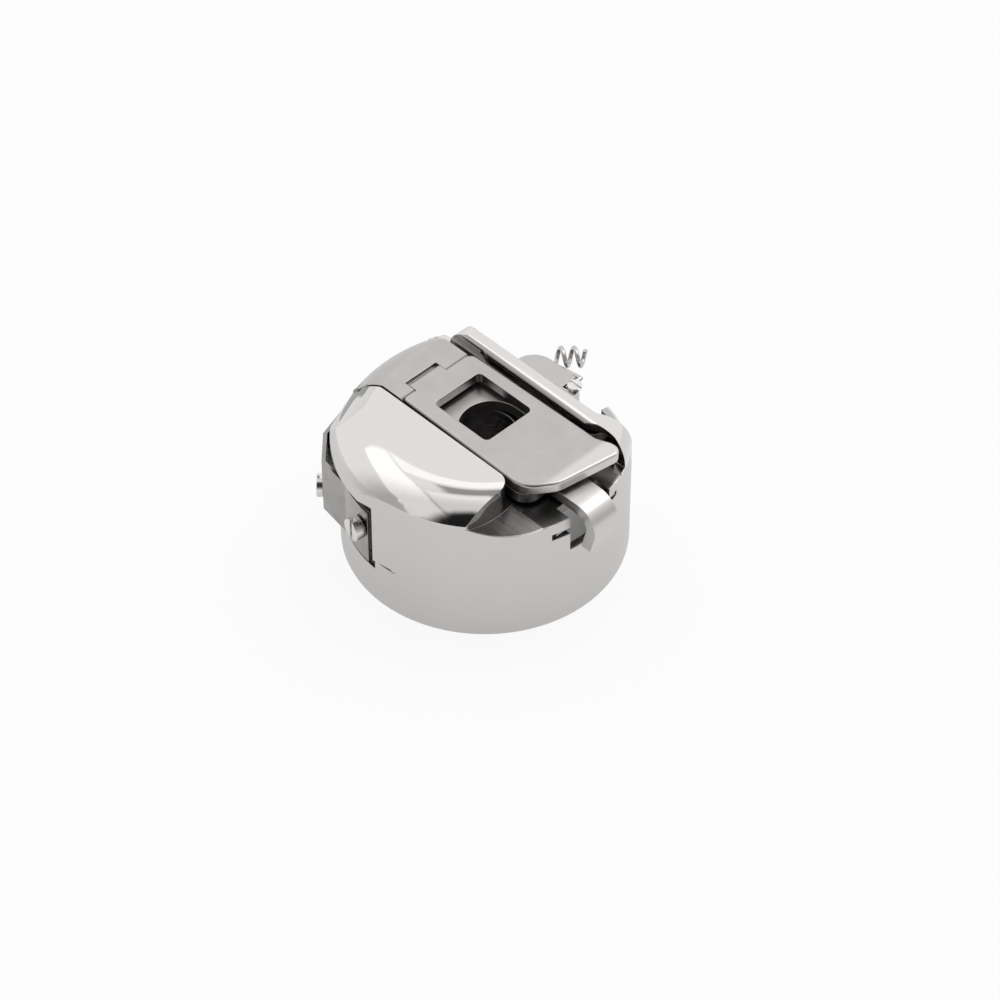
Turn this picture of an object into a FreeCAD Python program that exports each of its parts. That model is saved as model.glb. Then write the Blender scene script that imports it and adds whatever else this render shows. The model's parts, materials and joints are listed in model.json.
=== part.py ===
import FreeCAD, Part
import Sketcher
import math
import os

# Bobbin case of a rotary hook, mouth down.  Millimetres.
# Origin: the axis of the cup at its open rim.  +Z points to the closed end that carries the latch.
# +X is the way the latch slide points from its hinge block to its tongue.
# +Y points to the ridge and the finger.  Directions round the cup are degrees from +X towards +Y.

SIZES = [
    ("cup_radius", 11.5, "outside of the cup wall"),
    ("cup_wall", 0.7, "thickness of the cup wall"),
    ("cavity_depth", 9.8, "rim to the underside of the top web"),
    ("web_thickness", 1.0, "web between the cavity and the channel that the slide runs in"),
    ("lever_lift", 0.4, "clear height between the slide and the lever"),
    ("dome_run", 3.8, "width of the dome's rounded fall to the cup wall"),
    ("dome_drop", 1.5, "depth of that fall"),
    ("brow_rise", 0.55, "how far the brow stands out from the cup wall"),
    ("brow_drop", 1.27, "height of the small arc that rounds the brow"),
    ("brow_tangent_angle", 279, "where the brow runs out into the cup wall"),
    ("brow_low", 4.4, "lower end of the brow"),
    ("fall_angle", 202, "middle of the dome's flattened side by the hinge block"),
    ("ridge_rise", 0.6, "crest of the ridge above the dome"),
    ("ridge_run", 2.9, "width of the ridge's rounded fall to the cup wall"),
    ("ridge_drop", 3.4, "depth of that fall"),
    ("ridge_inner", 4.15, "side of the ridge that faces the lever"),
    ("ridge_flare_depth", 0.75, "recess in the ridge beside the lever's free end"),
    ("ridge_width", 1.35, "from that side to the back of the ridge"),
    ("ridge_back", 8.25, "end of the ridge by the hinge block, from the axis"),
    ("ridge_back_round", 2.3, "rounding of that end"),
    ("ridge_crest_round", 0.45, "rounding of the crest's long edges"),
    ("ridge_toe_start", 6.0, "where the ridge starts to widen towards its tongue end, from the axis"),
    ("ridge_toe_length", 4.2, "length over which it widens"),
    ("ridge_toe_flare", 2.2, "how much wider it gets over that length"),
    ("shoulder_start", 5.0, "where the plate behind the ridge steps down, from the axis"),
    ("shoulder_drop", 1.0, "depth of that step"),
    ("shoulder_back", 7.4, "where the plate steps down by the hinge block, from the axis"),
    ("dome_side", 4.15, "side of the dome that faces the lever, from the axis"),
    ("finger_rise", 0.6, "top of the finger and its plate above the channel floor"),
    ("plate_setback", 4.3, "straight edge of the plate behind the ridge, inside the cup wall"),
    ("finger_setback", 2.5, "far edge of the finger, inside the cup wall"),
    ("finger_start", 3.6, "finger, from the axis towards the hinge block"),
    ("finger_end", 2.6, "finger, from the axis towards the tongue"),
    ("finger_corner", 1.9, "rounding of the finger's corners"),
    ("window_low_sill", 4.5, "side window of the cup, low part"),
    ("window_high_sill", 7.7, "side window of the cup, high part"),
    ("window_first_angle", 38, "side window, start"),
    ("window_step_angle", 77, "side window, step between its two sills"),
    ("window_last_angle", 150, "side window, end"),
    ("scoop_radius", 6.5, "round cutter of the finger scoop"),
    ("scoop_rise", -0.15, "lowest line of the scoop above the channel floor"),
    ("scoop_centre", 5.6, "scoop, from the axis, away from the ridge"),
    ("scoop_start", 7.15, "end face of the scoop"),
    ("scoop_corner", 1.2, "rounding of the dome's upright corner at the scoop"),
    ("tongue_clear", 0.7, "clear height under the tongue in its wall slot"),
    ("tongue_slot_low_side", 1.9, "side of the wall slot, away from the ridge"),
    ("tongue_slot_high_side", 2.4, "side of the wall slot, by the ridge"),
    ("ear_notch_height", 0.6, "notches in the slot's sides for the flat spring's ears"),
    ("ear_notch_reach", 3.5, "notches, from the axis"),
    ("tube_radius", 2.95, "outside of the centre tube"),
    ("tube_bore_radius", 2.5, "bore of the centre tube"),
    ("tube_flange_radius", 3.7, "flange that holds the tube and the flat spring"),
    ("tube_flange_thickness", 0.5, "thickness of that flange"),
    ("flat_spring_thickness", 0.2, "anti-backlash spring, sheet"),
    ("flat_spring_ring", 4.6, "anti-backlash spring, ring"),
    ("flat_spring_arm", 8.6, "anti-backlash spring, reach of its bent arms"),
    ("flat_spring_drop", 0.9, "how far the tips of those arms hang"),
    ("ear_width", 0.9, "width of each ear of the flat spring"),
    ("ear_centre", 2.75, "ears of the flat spring, from the axis"),
    ("press_gap", 0.02, "gap left between staked or screwed faces"),
    ("running_gap", 0.05, "radial gap at pins"),
    ("slide_gap", 0.1, "gap under, beside and behind the slide"),
    ("slide_thickness", 1.0, "sheet of the slide"),
    ("slide_lift", 0.35, "clear height under the slide"),
    ("slide_side_gap", 0.3, "space beside the slide's plate, by the dome and by the ridge"),
    ("rail_reach", 0.2, "how far the slide's rails reach under the dome and the ridge"),
    ("rail_start", 9.4, "rails, from the axis towards the hinge block"),
    ("rail_end", 5.9, "rails, from the axis towards the tongue"),
    ("rail_thickness", 0.5, "thickness of the rails"),
    ("slide_setback", 3.1, "end of the wide part of the slide, inside the cup wall"),
    ("slide_corner", 1.4, "rounding of the slide's front corners"),
    ("stud_hole_radius", 2.62, "long hole that catches the hook's stud"),
    ("stud_hole_centre", 0.85, "centre of the hole's catching end"),
    ("slide_travel", 2.2, "how far the slide moves when the lever opens"),
    ("stud_hole_spare", 0.3, "clear length of the hole beyond the travel"),
    ("tongue_width", 2.6, "width of the tongue"),
    ("tongue_offset", 0.2, "tongue's middle, from the axis away from the ridge"),
    ("tongue_stand", 1.05, "clear space between the cup wall and the bent tongue"),
    ("tongue_bend", 2.1, "outside radius of the tongue's bend"),
    ("tongue_curl", 0.5, "how far the tongue's end leans back to the wall"),
    ("tongue_corner", 1.5, "rounding of the tongue's end"),
    ("tongue_drop", 1.75, "tongue's end below the underside of the web"),
    ("block_face", 5.28, "face of the hinge block, from the axis"),
    ("block_low_gap", 0.2, "space between the hinge block and the dome"),
    ("block_high_gap", 0.95, "space between the hinge block and the ridge"),
    ("block_run", 3.2, "width of the hinge block's fall to its edge"),
    ("block_drop", 3.15, "depth of that fall"),
    ("block_arc", 8.5, "radius of the arc of that fall"),
    ("pin_depth", 0.42, "hinge pin's axis below the top of the lever"),
    ("pin_setback", 0.42, "hinge pin's axis behind the face of the block"),
    ("pin_radius", 0.22, "hinge pin"),
    ("pin_high_end", 1.7, "end of the hinge pin by the ridge, from the axis"),
    ("knuckle_low_side", 2.45, "side of the lever's knuckle by the dome"),
    ("knuckle_high_side", 0.8, "side of the lever's knuckle by the ridge"),
    ("knuckle_gap", 0.03, "gap round the knuckle"),
    ("knuckle_slot", 0.17, "open width behind the knuckle"),
    ("lever_thickness", 0.85, "sheet of the lever"),
    ("lever_back_low_gap", 0.35, "space beside the lever at the hinge, by the dome"),
    ("lever_back_high_gap", 0.55, "space beside the lever at the hinge, by the ridge"),
    ("lever_front_low_gap", 0.15, "space beside the lever near its free end, by the dome"),
    ("lever_front_high_gap", 0.3, "space beside the lever near its free end, by the ridge"),
    ("lever_flare_gap", 0.5, "space beside the lever's corner in the ridge's recess"),
    ("lever_setback", 0.65, "lever's free end, inside the cup wall"),
    ("lever_front_length", 2.55, "where the lever's sides end, behind its free end"),
    ("lever_slant_back", 1.0, "middle of the lever's slanted front, behind its free end"),
    ("lever_slant_side", 1.7, "side position of that middle"),
    ("lever_flare_back", 1.35, "where the lever's run-out corner starts, behind its free end"),
    ("lever_front_round", 2.3, "rounding of the lever's slanted front"),
    ("lever_corner_round", 0.8, "rounding of the lever's other corners"),
    ("lever_edge", 0.25, "rounding of the lever's upper edge"),
    ("window_back", 3.1, "lever's window, end by the hinge"),
    ("window_front", 2.75, "lever's window, end by the tongue"),
    ("window_side", 2.46, "lever's window, half width"),
    ("window_corner", 0.45, "lever's window, corner radius"),
    ("spring_inset", 1.13, "coil spring's axis, inside the dome's side"),
    ("spring_coil_radius", 0.38, "coil spring, to the middle of its wire"),
    ("spring_wire_radius", 0.09, "coil spring, wire"),
    ("spring_start", 4.2, "coil spring's end at the seat pin"),
    ("spring_end", 0.75, "coil spring's end at the slide"),
    ("spring_pitch", 0.52, "coil spring, rest pitch"),
    ("spring_slot_side", 0.52, "half width of the slide's slot for the spring"),
    ("seat_pin_radius", 0.36, "pin in the web that the coil spring pushes on"),
    ("leaf_low", 3.7, "lower edge of the tension spring"),
    ("leaf_high", 9.0, "upper edge of the tension spring"),
    ("leaf_thickness", 0.35, "sheet of the tension spring"),
    ("leaf_recess_depth", 0.35, "depth of the recess under the tension spring"),
    ("leaf_recess_low", 3.4, "recess, lower edge"),
    ("leaf_recess_high", 10.35, "recess, upper edge"),
    ("leaf_recess_end", 267.6, "recess, end"),
    ("leaf_recess_start", 188, "recess, start"),
    ("leaf_tip_angle", 264.1, "free end of the tension spring"),
    ("leaf_bend_angle", 246, "where the tension spring leaves the wall"),
    ("leaf_stand", 1.2, "outer face of the flat part, outside the cup wall"),
    ("leaf_flat_half_angle", 7, "half the angle that the flat part spans"),
    ("leaf_tail_angle", 195, "fixed end of the tension spring"),
    ("leaf_tail_stand", 0.5, "outer corner of that end, outside the cup wall"),
    ("fixing_angle", 225, "fixing screw"),
    ("fixing_height", 4.75, "fixing screw"),
    ("fixing_head", 0.55, "height of the fixing screw's head"),
    ("boss_width", 2.4, "flat pad under the fixing screw"),
    ("adjusting_angle", 259.6, "adjusting screw"),
    ("adjusting_height", 7.0, "adjusting screw"),
    ("adjusting_head", 0.85, "height of the adjusting screw's head"),
    ("screw_head_radius", 0.95, "heads of both tension screws"),
    ("screw_shank_radius", 0.5, "shanks of both tension screws"),
    ("screw_slot_width", 0.3, "driver slots"),
    ("thread_slit", 0.2, "width of the thread slit"),
    ("slit_height", 4.45, "height of the thread slit's long run"),
    ("slit_entry_angle", 205, "where the slit starts at the rim"),
    ("slit_last_angle", 276.5, "end of the thread slit"),
    ("clamp_across", 1.85, "pigtail screw, from the axis towards the tongue"),
    ("clamp_inset", 0.95, "pigtail screw, inside the finger's far edge"),
    ("clamp_head_radius", 0.6, "pigtail screw, head"),
    ("clamp_depth", 0.05, "floor under the pigtail screw's head, below the finger's top"),
    ("clamp_head_height", 0.3, "pigtail screw, head"),
    ("clamp_shank_radius", 0.3, "pigtail screw, shank"),
    ("pigtail_wire_radius", 0.19, "pigtail guide, wire"),
    ("pigtail_coil_radius", 0.72, "pigtail guide, to the middle of its wire"),
    ("pigtail_pitch", 1.05, "pigtail guide, pitch"),
    ("pigtail_turns", 2.5, "pigtail guide, turns"),
    ("pigtail_across", 2.28, "start of the coil, from the axis towards the hinge block"),
    ("pigtail_stand", 0.75, "start of the coil, past the finger's far edge"),
    ("pigtail_drop", 0.05, "height of the coil's axis below the channel floor"),
    ("pigtail_angle", 46, "direction of the coil's axis"),
]


class Size:
    """A number together with the spreadsheet expression that gives it."""

    def __init__(self, number, text):
        self.number = float(number)
        self.text = text

    def __add__(self, other):
        other = as_size(other)
        return Size(self.number + other.number, f"({self.text} + {other.text})")

    def __sub__(self, other):
        other = as_size(other)
        return Size(self.number - other.number, f"({self.text} - {other.text})")

    def __mul__(self, other):
        other = as_size(other)
        return Size(self.number * other.number, f"({self.text} * {other.text})")

    def __truediv__(self, other):
        other = as_size(other)
        return Size(self.number / other.number, f"({self.text} / {other.text})")

    def __radd__(self, other):
        return as_size(other) + self

    def __rsub__(self, other):
        return as_size(other) - self

    def __rmul__(self, other):
        return as_size(other) * self

    def __neg__(self):
        return Size(-self.number, f"(0 - {self.text})")


def as_size(value):
    return value if isinstance(value, Size) else Size(value, repr(float(value)))


def cosine(angle):
    return Size(math.cos(math.radians(angle.number)), f"cos({angle.text} * 1 deg)")


def sine(angle):
    return Size(math.sin(math.radians(angle.number)), f"sin({angle.text} * 1 deg)")


def root(value):
    return Size(math.sqrt(value.number), f"sqrt({value.text})")


def polar(radius, angle):
    angle = as_size(angle)
    return (as_size(radius) * cosine(angle), as_size(radius) * sine(angle))


class Sheet:
    """The driving dimensions, read as attributes: dims.cup_radius."""

    def __init__(self, doc):
        cells = doc.addObject("Spreadsheet::Sheet", "Sizes")
        for row, (alias, value, note) in enumerate(SIZES, 1):
            cells.set(f"A{row}", str(value))
            cells.setAlias(f"A{row}", alias)
            cells.set(f"B{row}", note)
            setattr(self, alias, Size(value, f"Sizes.{alias}"))
        doc.recompute()
        self.stack_heights()
        self.set_sides()
        self.set_reaches()

    def stack_heights(self):
        """Heights from the rim up: web, slide, lever, ridge."""
        self.channel_floor = self.cavity_depth + self.web_thickness
        self.slide_low = self.channel_floor + self.slide_lift
        self.slide_top = self.slide_low + self.slide_thickness
        self.lever_low = self.slide_top + self.lever_lift
        self.dome_height = self.lever_low + self.lever_thickness
        self.dome_edge_height = self.dome_height - self.dome_drop
        self.ridge_height = self.dome_height + self.ridge_rise
        self.ridge_edge_height = self.ridge_height - self.ridge_drop
        self.finger_height = self.channel_floor + self.finger_rise
        self.block_edge_height = self.dome_height - self.block_drop
        self.scoop_floor = self.channel_floor + self.scoop_rise
        self.tongue_end = self.cavity_depth - self.tongue_drop
        self.groove_top = self.finger_height - self.clamp_depth
        self.pigtail_height = self.channel_floor - self.pigtail_drop

    def set_sides(self):
        """Widths between the dome and the ridge: slide, hinge block, lever, coil spring."""
        self.ridge_outer = self.ridge_inner + self.ridge_width
        self.ridge_flare = self.ridge_inner + self.ridge_flare_depth
        self.slide_low_side = self.dome_side - self.slide_side_gap
        self.slide_high_side = self.ridge_inner - self.slide_side_gap
        self.rail_low_side = self.dome_side + self.rail_reach
        self.rail_high_side = self.ridge_inner + self.rail_reach
        self.block_low_side = self.dome_side - self.block_low_gap
        self.block_high_side = self.ridge_inner - self.block_high_gap
        self.lever_back_low = self.dome_side - self.lever_back_low_gap
        self.lever_back_high = self.ridge_inner - self.lever_back_high_gap
        self.lever_front_low = self.dome_side - self.lever_front_low_gap
        self.lever_front_high = self.ridge_inner - self.lever_front_high_gap
        self.lever_flare = self.ridge_flare - self.lever_flare_gap
        self.spring_side = self.dome_side - self.spring_inset

    def set_reaches(self):
        """Distances from the axis that follow the cup wall."""
        self.cup_inner = self.cup_radius - self.cup_wall
        self.outside = self.cup_radius + 3
        self.dome_flat_radius = self.cup_radius - self.dome_run
        self.ridge_flat_radius = self.cup_radius - self.ridge_run
        self.block_flat_radius = self.cup_radius - self.block_run
        self.brow_radius = self.cup_radius + self.brow_rise
        self.plate_edge = self.cup_radius - self.plate_setback
        self.finger_reach = self.cup_radius - self.finger_setback
        self.slide_front = self.cup_radius - self.slide_setback
        self.tongue_face = self.cup_radius + self.tongue_stand + self.slide_thickness
        self.lever_reach = self.cup_radius - self.lever_setback
        self.lever_shoulder = self.lever_reach - self.lever_front_length
        self.lever_slant = self.lever_reach - self.lever_slant_back
        self.lever_flare_start = self.lever_reach - self.lever_flare_back
        self.leaf_seat = self.cup_radius - self.leaf_recess_depth
        self.leaf_flat = self.cup_radius + self.leaf_stand
        self.leaf_tail_radius = self.cup_radius + self.leaf_tail_stand
        self.clamp_out = self.finger_reach - self.clamp_inset
        self.pigtail_out = self.finger_reach + self.pigtail_stand


def bind(thing, field, value):
    value = as_size(value)
    if field in thing.PropertiesList:
        setattr(thing, field, value.number)
    thing.setExpression(field, value.text)


def place(thing, x=0, y=0, z=0):
    for field, value in (("x", x), ("y", y), ("z", z)):
        thing.setExpression(f"Placement.Base.{field}", as_size(value).text)
    return thing


def turn(thing, angle):
    """Turns a finished thing about the cup's axis.  A box or drum, which has a place, is wrapped."""
    angle = as_size(angle)
    if thing.TypeId in ("Part::Box", "Part::Cylinder"):
        wrapped = thing.Document.addObject("Part::Compound", thing.Name + "_turned")
        wrapped.Links = [thing]
        thing = wrapped
    upright = FreeCAD.Vector(0, 0, 1)
    thing.Placement = FreeCAD.Placement(FreeCAD.Vector(), FreeCAD.Rotation(upright, angle.number))
    thing.setExpression("Placement.Rotation.Angle", f"{angle.text} * 1 deg")
    return thing


def box(doc, name, low, high):
    thing = doc.addObject("Part::Box", name)
    for field, start, end in zip(("Length", "Width", "Height"), low, high):
        bind(thing, field, as_size(end) - start)
    return place(thing, *low)


AXES = {
    "x": FreeCAD.Rotation(FreeCAD.Vector(0, 1, 0), 90),
    "y": FreeCAD.Rotation(FreeCAD.Vector(1, 0, 0), -90),
    "z": FreeCAD.Rotation(),
}


def drum(doc, name, radius, length, start, along="z", sector=None):
    """A cylinder from start along an axis; sector is its angle in degrees."""
    thing = doc.addObject("Part::Cylinder", name)
    bind(thing, "Radius", radius)
    bind(thing, "Height", length)
    if sector is not None:
        bind(thing, "Angle", sector)
    thing.Placement = FreeCAD.Placement(FreeCAD.Vector(), AXES[along])
    return place(thing, *start)


def wedge(doc, name, radius, low, high, first, last):
    """A slice of a round block between two directions."""
    return turn(drum(doc, name, radius, high - low, (0, 0, low), sector=last - first), first)


def fuse(doc, name, things):
    joined = doc.addObject("Part::MultiFuse", name)
    joined.Shapes = things
    joined.Refine = True
    return joined


def overlap(doc, name, things):
    shared = doc.addObject("Part::MultiCommon", name)
    shared.Shapes = things
    shared.Refine = True
    return shared


def cut(doc, name, base, tools):
    rest = doc.addObject("Part::Cut", name)
    rest.Base = base
    rest.Tool = tools[0] if len(tools) == 1 else fuse(doc, name + "_tools", tools)
    rest.Refine = True
    return rest


def arc_between(start, end, radius):
    """The short arc from start to end; a negative radius bends it the other way."""
    across = end - start
    half = across.Length / 2
    rise = math.sqrt(max(radius * radius - half * half, 0.0))
    side = math.copysign(1, radius)
    normal = FreeCAD.Vector(-across.y, across.x, 0).normalize() * side
    centre = (start + end) / 2 + normal * rise
    middle = centre - normal * abs(radius)
    return Part.Arc(start, middle, end)


def sketch_on(body, role, offset, points):
    """A closed outline.  Each point is (u, v), or (u, v, radius) where an arc ends."""
    sketch = body.newObject("Sketcher::SketchObject", body.Name + "_outline")
    planes = [plane for plane in body.Origin.OriginFeatures if plane.Role == role]
    sketch.AttachmentSupport = [(planes[0], "")]
    sketch.MapMode = "FlatFace"
    sketch.setExpression("AttachmentOffset.Base.z", as_size(offset).text)
    spots = [FreeCAD.Vector(as_size(p[0]).number, as_size(p[1]).number, 0) for p in points]
    for index, point in enumerate(points):
        start, end = spots[index - 1], spots[index]
        if len(point) == 3:
            sketch.addGeometry(arc_between(start, end, as_size(point[2]).number))
        else:
            sketch.addGeometry(Part.LineSegment(start, end))
    for index, point in enumerate(points):
        following = (index + 1) % len(points)
        # An arc that was drawn clockwise keeps its end at its first vertex.
        tail = edge_vertex(sketch, index, spots[index])
        head = edge_vertex(sketch, following, spots[index])
        sketch.addConstraint(Sketcher.Constraint("Coincident", index, tail, following, head))
        for kind, value in (("DistanceX", point[0]), ("DistanceY", point[1])):
            value = as_size(value)
            rule = Sketcher.Constraint(kind, -1, 1, index, tail, value.number)
            sketch.setExpression(f"Constraints[{sketch.addConstraint(rule)}]", value.text)
        if len(point) == 3:
            radius = as_size(point[2])
            sign = 1 if radius.number > 0 else -1
            rule = Sketcher.Constraint("Radius", index, abs(radius.number))
            sketch.setExpression(f"Constraints[{sketch.addConstraint(rule)}]", (sign * radius).text)
    return sketch


def edge_vertex(sketch, edge, spot):
    near = [sketch.getPoint(edge, end).distanceToPoint(spot) for end in (1, 2)]
    return 1 if near[0] < near[1] else 2


def new_body(doc, name):
    body = doc.addObject("PartDesign::Body", name)
    body.Label = name
    return body


def turned(doc, name, points, sweep=360):
    """A profile of (radius, height) points turned about the cup's axis."""
    body = new_body(doc, name)
    sketch = sketch_on(body, "XZ_Plane", 0, points)
    feature = body.newObject("PartDesign::Revolution", name + "_turn")
    feature.Profile = sketch
    feature.ReferenceAxis = (sketch, ["V_Axis"])
    bind(feature, "Angle", sweep)
    return body


def padded(doc, name, role, points, start, length):
    body = new_body(doc, name)
    sketch = sketch_on(body, role, start, points)
    feature = body.newObject("PartDesign::Pad", name + "_pad")
    feature.Profile = sketch
    bind(feature, "Length", length)
    return body


def slab(doc, name, points, low, high):
    """An outline in X and Y, from one height to another."""
    return padded(doc, name, "XY_Plane", points, low, as_size(high) - low)


def bar(doc, name, points, low, high):
    """An outline in X and Z, from one Y to another."""
    return padded(doc, name, "XZ_Plane", points, -as_size(high), as_size(high) - low)


def rail(doc, name, points, low, high):
    """An outline in Y and Z, from one X to another."""
    return padded(doc, name, "YZ_Plane", points, low, as_size(high) - low)


def upright_edges(shape, spots):
    """Names of the vertical edges that stand at the given X, Y places."""
    names = []
    for number, edge in enumerate(shape.Edges, 1):
        ends = [vertex.Point for vertex in edge.Vertexes]
        if len(ends) != 2 or abs(ends[0].z - ends[1].z) < 1e-3:
            continue
        for spot in spots:
            x, y = as_size(spot[0]).number, as_size(spot[1]).number
            if all(math.hypot(end.x - x, end.y - y) < 1e-3 for end in ends):
                names.append(f"Edge{number}")
    return names


def round_edges(doc, body, names, radius):
    """Rounds edges of a body's last feature."""
    base = body.Tip
    feature = body.newObject("PartDesign::Fillet", base.Name + "_round")
    feature.Base = (base, names)
    bind(feature, "Radius", radius)
    doc.recompute()
    return feature


def round_corners(doc, body, spots, radius):
    doc.recompute()
    return round_edges(doc, body, upright_edges(body.Tip.Shape, spots), radius)


def pocket(doc, body, name, points, offset, depth):
    """Cuts an outline in X and Y down through a body, from a height."""
    doc.recompute()
    before = body.Shape.Volume
    sketch = sketch_on(body, "XY_Plane", offset, points)
    feature = body.newObject("PartDesign::Pocket", name)
    feature.Profile = sketch
    bind(feature, "Length", depth)
    doc.recompute()
    if body.Shape.Volume > before - 1e-6:
        raise RuntimeError(f"{name} cuts nothing")
    return feature


# --- the case -------------------------------------------------------------------------------


def dome_arc(dims):
    """Radius of the arc that leaves the dome's flat top level and ends at the cup wall."""
    run = dims.cup_radius - dims.dome_flat_radius
    drop = dims.dome_height - dims.dome_edge_height
    return (run * run + drop * drop) / (2 * drop)


def cup_round(doc, dims):
    """Cup and dome as one turned shape, still solid."""
    return turned(doc, "cup_round", [
        (0, 0),
        (dims.cup_radius, 0),
        (dims.cup_radius, dims.dome_edge_height),
        (dims.dome_flat_radius, dims.dome_height, dome_arc(dims)),
        (0, dims.dome_height),
    ])


def brow(doc, dims):
    """The dome's overhang above the tension spring.  It runs out into the wall in a flat."""
    drop = dims.brow_drop
    step = dims.brow_radius - dims.cup_radius
    small_arc = (step * step + drop * drop) / (2 * step)
    profile = turned(doc, "brow_round", [
        (0, dims.brow_low),
        (dims.brow_radius, dims.brow_low),
        (dims.brow_radius, dims.dome_edge_height - drop),
        (dims.cup_radius, dims.dome_edge_height, small_arc),
        (dims.dome_flat_radius, dims.dome_height, dome_arc(dims)),
        (0, dims.dome_height),
    ])
    reach = dims.brow_radius + 1
    flat = turn(
        box(doc, "brow_flat", (-reach, -reach, 0), (dims.cup_radius, 0, reach * 2)),
        dims.brow_tangent_angle,
    )
    side = box(doc, "brow_side", (-reach, -reach, 0), (reach, -dims.dome_side, reach * 2))
    return overlap(doc, "brow", [profile, flat, side])


def ridge(doc, dims):
    """The crest beside the lever: rounded along its edges and down to the wall at both ends."""
    drop = dims.ridge_drop
    arc = (dims.ridge_run * dims.ridge_run + drop * drop) / (2 * drop)
    profile = turned(doc, "ridge_round", [
        (0, dims.cavity_depth),
        (dims.cup_radius, dims.cavity_depth),
        (dims.cup_radius, dims.ridge_edge_height),
        (dims.ridge_flat_radius, dims.ridge_height, arc),
        (0, dims.ridge_height),
    ])
    crest_round, end_round = dims.ridge_crest_round, dims.ridge_back_round
    strip = rail(doc, "ridge_strip", [
        (dims.ridge_inner, dims.cavity_depth),
        (dims.ridge_outer, dims.cavity_depth),
        (dims.ridge_outer, dims.ridge_height - crest_round),
        (dims.ridge_outer - crest_round, dims.ridge_height, crest_round),
        (dims.ridge_inner + crest_round, dims.ridge_height),
        (dims.ridge_inner, dims.ridge_height - crest_round, crest_round),
    ], -dims.outside, dims.outside)
    toe = slab(doc, "ridge_toe", [
        (dims.ridge_toe_start, dims.ridge_inner + crest_round),
        (dims.outside, dims.ridge_inner + crest_round),
        (dims.outside, dims.ridge_outer + dims.ridge_toe_flare),
        (dims.ridge_toe_start + dims.ridge_toe_length, dims.ridge_outer + dims.ridge_toe_flare),
    ], dims.cavity_depth, dims.ridge_height)
    side = bar(doc, "ridge_side", [
        (-dims.ridge_back, 0),
        (dims.outside, 0),
        (dims.outside, dims.ridge_height),
        (end_round - dims.ridge_back, dims.ridge_height),
        (-dims.ridge_back, dims.ridge_height - end_round, end_round),
    ], 0, dims.outside)
    return overlap(doc, "ridge", [profile, fuse(doc, "ridge_plan", [strip, toe]), side])


def finger(doc, dims):
    """The finger that stands out past the straight edge of the plate behind the ridge."""
    body = slab(doc, "finger", [
        (-dims.finger_start, 0),
        (dims.finger_end, 0),
        (dims.finger_end, dims.finger_reach),
        (-dims.finger_start, dims.finger_reach),
    ], dims.cavity_depth, dims.finger_height)
    corners = [(-dims.finger_start, dims.finger_reach), (dims.finger_end, dims.finger_reach)]
    round_corners(doc, body, corners, dims.finger_corner)
    return body


def seat_pin_place(dims):
    """The seat pin stands behind the coil spring's fixed end."""
    return dims.spring_start + dims.spring_wire_radius + dims.seat_pin_radius


def rail_groove(doc, dims):
    """The undercut on both sides of the channel that holds the slide down."""
    out = dims.outside
    gap = dims.slide_gap
    return box(doc, "rail_groove",
               (-out, -dims.rail_low_side - gap, dims.slide_low - gap),
               (dims.rail_end + gap, dims.rail_high_side + gap,
                dims.slide_low + dims.rail_thickness + gap))


def flare(doc, dims):
    """The channel widens at its tongue end, beside the lever's free end."""
    out = dims.outside
    start = dims.lever_shoulder - 1.5
    return slab(doc, "flare", [
        (start, 0),
        (out, 0),
        (out, dims.ridge_flare),
        (dims.lever_shoulder + 1, dims.ridge_flare),
        (start, dims.ridge_inner),
    ], dims.channel_floor, dims.ridge_height + 1)


def leaf_recess(doc, dims):
    """The wall is turned down where the tension spring lies."""
    out = dims.outside
    slice_out = wedge(doc, "recess_slice", out, dims.leaf_recess_low, dims.leaf_recess_high,
                      dims.leaf_recess_start, dims.leaf_recess_end)
    core = drum(doc, "recess_core", dims.leaf_seat, out * 2, (0, 0, -1))
    return cut(doc, "leaf_recess", slice_out, [core])


def side_window(doc, dims):
    """The wall under the finger is open, with a high and a low sill."""
    out = dims.outside
    low = wedge(doc, "window_low", out, dims.window_low_sill, dims.cavity_depth,
                dims.window_step_angle, dims.window_last_angle)
    high = wedge(doc, "window_high", out, dims.window_high_sill, dims.cavity_depth,
                 dims.window_first_angle, dims.window_step_angle)
    return [low, high]


def plate_trim(doc, dims):
    """The plate behind the ridge ends in a straight edge above the side window."""
    out = dims.outside
    low = dims.cavity_depth - 0.5
    edge = box(doc, "plate_trim_edge", (-out, dims.plate_edge, low), (out, out, out * 2))
    sweep = wedge(doc, "plate_trim_sweep", out, low, out * 2,
                  dims.window_first_angle, dims.window_last_angle)
    return overlap(doc, "plate_trim", [edge, sweep])


def thread_slit(doc, dims):
    """A slit up from the rim and along under the tension spring."""
    out = dims.outside
    inner = dims.cup_inner
    half = dims.thread_slit / 2
    run = wedge(doc, "slit_run", out, dims.slit_height - half, dims.slit_height + half,
                dims.slit_entry_angle, dims.slit_last_angle)
    entry = box(doc, "slit_entry", (inner - 1, -half, -1), (out, half, dims.slit_height))
    return [run, turn(entry, dims.slit_entry_angle)]


def wire_groove(doc, dims):
    """The pigtail's leg lies in a groove beside its screw."""
    half = dims.pigtail_wire_radius + dims.press_gap
    middle = pigtail_leg(dims)
    low = dims.groove_top - half * 2
    return box(doc, "wire_groove", (middle - half, dims.clamp_out - 0.6, low),
               (middle + half, dims.outside, dims.outside * 2))


def pigtail_leg(dims):
    """The wire's leg passes beside the clamp screw's shank."""
    return dims.clamp_across - dims.clamp_shank_radius - dims.pigtail_wire_radius - dims.running_gap


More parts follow.
